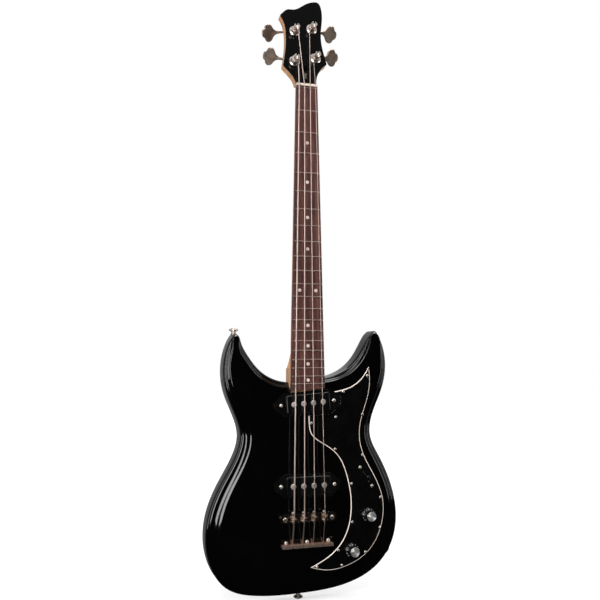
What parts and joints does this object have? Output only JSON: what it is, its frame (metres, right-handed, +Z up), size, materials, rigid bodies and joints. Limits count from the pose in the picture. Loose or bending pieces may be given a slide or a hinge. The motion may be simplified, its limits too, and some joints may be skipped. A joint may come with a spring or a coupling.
{
  "type": "electric bass guitar",
  "caption": "Solid-body electric bass guitar with two horns, bolted neck, pickguard with controls, covered pickups, bridge, tailpiece and geared tuning machines.",
  "frame": {"origin": "Middle of the zero fret on the fingerboard's face, where a hanger's yoke closes round the neck.", "axes": "+Z up the neck toward the headstock, -Y out of the front, +X toward the treble side."},
  "size_m": [0.3526, 0.0686, 1.0941],
  "materials": {
    "black_lacquer": "gloss black lacquer over wood",
    "maple": "satin clear finish",
    "rosewood": "oiled",
    "nickel": "polished nickel plate",
    "fret_wire": "polished",
    "steel": "plain",
    "string_wire": "round-wound nickel on steel",
    "bone_white": "polished",
    "pearl": "pearl",
    "laminate": "black over a pale middle ply",
    "black_plastic": "moulded gloss black",
    "aluminium": "turned",
    "coil": "enamelled copper winding",
    "lead": "insulated lead"
  },
  "bodies": {
    "key_e": {"tuner_key_e": "nickel"},
    "post_e": {"tuner_post_e": "nickel"},
    "key_a": {"tuner_key_a": "nickel"},
    "post_a": {"tuner_post_a": "nickel"},
    "key_d": {"tuner_key_d": "nickel"},
    "post_d": {"tuner_post_d": "nickel"},
    "key_g": {"tuner_key_g": "nickel"},
    "post_g": {"tuner_post_g": "nickel"},
    "saddle_e": {"saddle_e": "nickel"},
    "saddle_screw_e": {"saddle_screw_e": "nickel"},
    "saddle_a": {"saddle_a": "nickel"},
    "saddle_screw_a": {"saddle_screw_a": "nickel"},
    "saddle_d": {"saddle_d": "nickel"},
    "saddle_screw_d": {"saddle_screw_d": "nickel"},
    "saddle_g": {"saddle_g": "nickel"},
    "saddle_screw_g": {"saddle_screw_g": "nickel"},
    "volume_control": {"volume_knob": "black_plastic", "volume_knob_cap": "aluminium", "volume_shaft": "aluminium"},
    "tone_control": {"tone_knob": "black_plastic", "tone_knob_cap": "aluminium", "tone_shaft": "aluminium"},
    "selector": {"switch_lever": "black_plastic"},
    "instrument": {"body": "black_lacquer", "headstock_face": "black_lacquer", "neck": "maple", "fingerboard": "rosewood", "tuner_plates": "nickel", "tuner_bushings": "nickel", "bridge_bar": "nickel", "bridge_posts": "nickel", "bridge_thumbwheels": "nickel", "bridge_bushings": "nickel", "tailpiece": "nickel", "strap_buttons": "nickel", "neck_plate": "nickel", "small_screws": "nickel", "mounting_screws": "nickel", "switch_screws": "nickel", "strap_button_screws": "nickel", "neck_screws": "nickel", "pole_pieces": "nickel", "output_jack": "nickel", "frets": "fret_wire", "truss_rod": "steel", "volume_pot": "steel", "tone_pot": "steel", "switch_frame": "steel", "string_e": "string_wire", "string_a": "string_wire", "string_d": "string_wire", "string_g": "string_wire", "nut": "bone_white", "position_dots": "pearl", "pickguard": "laminate", "neck_pickup_cover": "black_plastic", "bridge_pickup_cover": "black_plastic", "neck_pickup_coil": "coil", "bridge_pickup_coil": "coil", "wiring": "lead"}
  },
  "joints": [
    {"name": "key_e_turn", "type": "hinge", "parent": "instrument", "child": "key_e", "pos_m": [-0.01847, 0.0353, 0.06043], "axis": [0.9925, -0.0212, -0.12], "continuous": true},
    {"name": "post_e_turn", "type": "hinge", "parent": "instrument", "child": "post_e", "pos_m": [-0.01999, 0.01286, 0.05179], "axis": [0, -0.9848, 0.1736], "continuous": true},
    {"name": "key_a_turn", "type": "hinge", "parent": "instrument", "child": "key_a", "pos_m": [-0.019, 0.04609, 0.12163], "axis": [0.9799, 0.0346, 0.1963], "continuous": true},
    {"name": "post_a_turn", "type": "hinge", "parent": "instrument", "child": "post_a", "pos_m": [-0.01651, 0.02368, 0.11315], "axis": [0, -0.9848, 0.1736], "continuous": true},
    {"name": "key_d_turn", "type": "hinge", "parent": "instrument", "child": "key_d", "pos_m": [0.01829, 0.04759, 0.13011], "axis": [0.9945, -0.0182, -0.1029], "continuous": true},
    {"name": "post_d_turn", "type": "hinge", "parent": "instrument", "child": "post_d", "pos_m": [0.01699, 0.02514, 0.12144], "axis": [0, -0.9848, 0.1736], "continuous": true},
    {"name": "key_g_turn", "type": "hinge", "parent": "instrument", "child": "key_g", "pos_m": [0.01903, 0.03706, 0.0704], "axis": [0.9877, 0.0272, 0.1541], "continuous": true},
    {"name": "post_g_turn", "type": "hinge", "parent": "instrument", "child": "post_g", "pos_m": [0.02098, 0.01463, 0.06182], "axis": [0, -0.9848, 0.1736], "continuous": true},
    {"name": "saddle_screw_e_turn", "type": "hinge", "parent": "instrument", "child": "saddle_screw_e", "pos_m": [-0.0282, 0.0007, -0.7585], "axis": [0, 0, 1], "range_deg": [-3900, 1260]},
    {"name": "saddle_e_slide", "type": "slide", "parent": "instrument", "child": "saddle_e", "axis": [0, 0, 1], "range_m": [-0.00155, 0.00485], "deforming": ["string_e"]},
    {"name": "saddle_screw_a_turn", "type": "hinge", "parent": "instrument", "child": "saddle_screw_a", "pos_m": [-0.0094, 0.0007, -0.7585], "axis": [0, 0, 1], "range_deg": [-3260, 1900]},
    {"name": "saddle_a_slide", "type": "slide", "parent": "instrument", "child": "saddle_a", "axis": [0, 0, 1], "range_m": [-0.00235, 0.00405], "deforming": ["string_a"]},
    {"name": "saddle_screw_d_turn", "type": "hinge", "parent": "instrument", "child": "saddle_screw_d", "pos_m": [0.0094, 0.0007, -0.7585], "axis": [0, 0, 1], "range_deg": [-2620, 2540]},
    {"name": "saddle_d_slide", "type": "slide", "parent": "instrument", "child": "saddle_d", "axis": [0, 0, 1], "range_m": [-0.00315, 0.00325], "deforming": ["string_d"]},
    {"name": "saddle_screw_g_turn", "type": "hinge", "parent": "instrument", "child": "saddle_screw_g", "pos_m": [0.0282, 0.0007, -0.7585], "axis": [0, 0, 1], "range_deg": [-1980, 3180]},
    {"name": "saddle_g_slide", "type": "slide", "parent": "instrument", "child": "saddle_g", "axis": [0, 0, 1], "range_m": [-0.00395, 0.00245], "deforming": ["string_g"]},
    {"name": "volume_turn", "type": "hinge", "parent": "instrument", "child": "volume_control", "pos_m": [0.11494, 0.011, -0.77126], "axis": [0, -1, 0], "range_deg": [-270, 0]},
    {"name": "tone_turn", "type": "hinge", "parent": "instrument", "child": "tone_control", "pos_m": [0.08303, 0.011, -0.83088], "axis": [0, -1, 0], "range_deg": [-270, 0]},
    {"name": "selector_tilt", "type": "hinge", "parent": "instrument", "child": "selector", "pos_m": [0.11133, 0.025, -0.70308], "axis": [0.831, 0, 0.5563], "range_deg": [-22, 22]}
  ],
  "couplings": [
    {"joint": "post_e_turn", "follows": "key_e_turn", "ratio": 0.05},
    {"joint": "post_a_turn", "follows": "key_a_turn", "ratio": 0.05},
    {"joint": "post_d_turn", "follows": "key_d_turn", "ratio": 0.05},
    {"joint": "post_g_turn", "follows": "key_g_turn", "ratio": 0.05},
    {"joint": "saddle_screw_e_turn", "follows": "saddle_e_slide", "rad_per_m": -13963},
    {"joint": "saddle_screw_a_turn", "follows": "saddle_a_slide", "rad_per_m": -13963},
    {"joint": "saddle_screw_d_turn", "follows": "saddle_d_slide", "rad_per_m": -13963},
    {"joint": "saddle_screw_g_turn", "follows": "saddle_g_slide", "rad_per_m": -13963}
  ]
}
